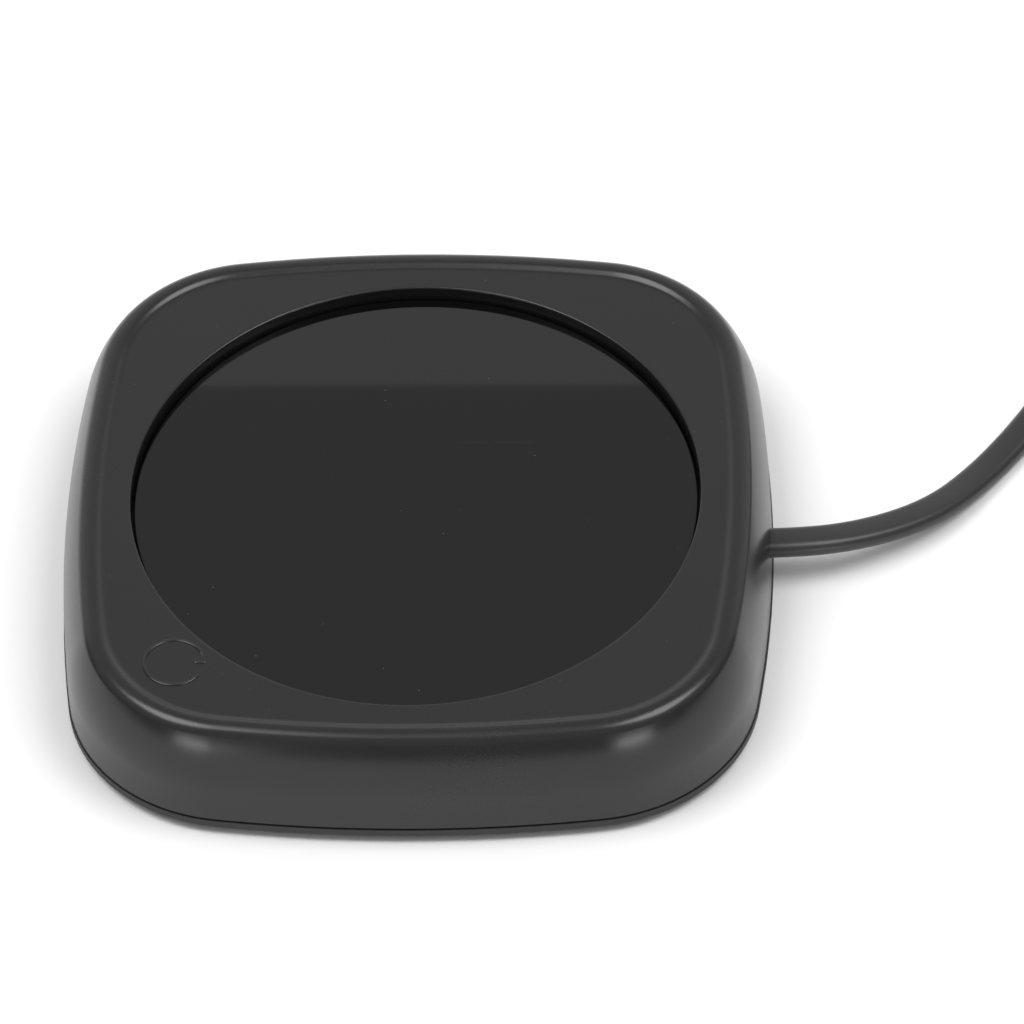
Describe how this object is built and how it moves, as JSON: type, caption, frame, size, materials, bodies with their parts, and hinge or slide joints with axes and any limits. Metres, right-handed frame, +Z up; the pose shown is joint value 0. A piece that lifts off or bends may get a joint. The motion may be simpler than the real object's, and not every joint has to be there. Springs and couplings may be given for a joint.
{
  "type": "electric mug warmer",
  "caption": "Low rounded square electric mug warmer: a round black glass heating plate at the bottom of a shallow well sinks under a mug to close a switch; flat cord with coil and plug.",
  "frame": {"origin": "centre of the underside on the ground, at the foot of the rubber feet", "axes": "+Z up, +X towards the side that the power cord leaves, -Y towards the user"},
  "size_m": [0.2737, 0.1825, 0.0235],
  "materials": {
    "housing_plastic": "satin black moulding",
    "base_plastic": "fine matt black moulding",
    "plate_glass": "polished black glass",
    "foot_rubber": "matt rubber",
    "seal_silicone": "matt silicone",
    "spreader_aluminium": "rolled sheet",
    "film_foil": "amber film with etched track",
    "insulation_felt": "pressed fibre",
    "carrier_plastic": "moulded heat-resistant plastic",
    "spring_steel": "drawn wire",
    "screw_steel": "zinc plated",
    "thermostat_metal": "pressed case",
    "fuse_metal": "drawn case",
    "switch_plastic": "moulded",
    "plunger_plastic": "moulded",
    "terminal_brass": "stamped",
    "board_laminate": "solder mask",
    "led_lens": "clear tinted lens",
    "resistor_coat": "lacquered",
    "light_guide_clear": "frosted clear",
    "live_sleeve": "smooth sleeve",
    "neutral_sleeve": "smooth sleeve",
    "thin_sleeve": "smooth sleeve",
    "splice_sleeve": "crimped sleeve",
    "cord_rubber": "smooth satin jacket",
    "tie_fabric": "woven hook and loop",
    "blade_metal": "nickel plated"
  },
  "bodies": {
    "housing": {"top_cover": "housing_plastic", "bottom_cover": "base_plastic", "foot_front_left": "foot_rubber", "foot_front_right": "foot_rubber", "foot_rear_left": "foot_rubber", "foot_rear_right": "foot_rubber", "housing_screws": "screw_steel", "switch_body": "switch_plastic", "switch_terminals": "terminal_brass", "circuit_board": "board_laminate", "indicator_led": "led_lens", "board_resistor": "resistor_coat", "board_screws": "screw_steel", "light_guide": "light_guide_clear", "cord_clamp": "base_plastic", "clamp_screws": "screw_steel", "live_lead": "live_sleeve", "neutral_lead": "neutral_sleeve", "switch_lead": "live_sleeve", "lead_splices": "splice_sleeve", "board_leads": "thin_sleeve", "power_cord": "cord_rubber", "cord_coil": "cord_rubber", "cord_tie": "tie_fabric", "plug_lead": "cord_rubber", "plug_body": "cord_rubber", "plug_blades": "blade_metal", "return_spring_1": "spring_steel", "return_spring_2": "spring_steel", "return_spring_3": "spring_steel", "live_riser": "live_sleeve", "neutral_riser": "neutral_sleeve"},
    "plate": {"heating_plate": "plate_glass", "plate_seal": "seal_silicone", "heat_spreader": "spreader_aluminium", "heater_film": "film_foil", "insulation_pad": "insulation_felt", "plate_carrier": "carrier_plastic", "thermostat": "thermostat_metal", "thermal_fuse": "fuse_metal"},
    "plunger": {"switch_plunger": "plunger_plastic"}
  },
  "joints": [
    {"name": "plate_press", "type": "slide", "parent": "housing", "child": "plate", "axis": [0, 0, -1], "range_m": [0, 0.001], "stiffness_N_per_m": 1000, "springref_m": -0.0022, "deforming": ["return_spring_1", "return_spring_2", "return_spring_3", "live_riser", "neutral_riser"]},
    {"name": "plunger_press", "type": "slide", "parent": "housing", "child": "plunger", "axis": [0, 0, -1], "range_m": [0, 0.001]}
  ],
  "couplings": [
    {"joint": "plunger_press", "follows": "plate_press", "ratio": 1}
  ]
}
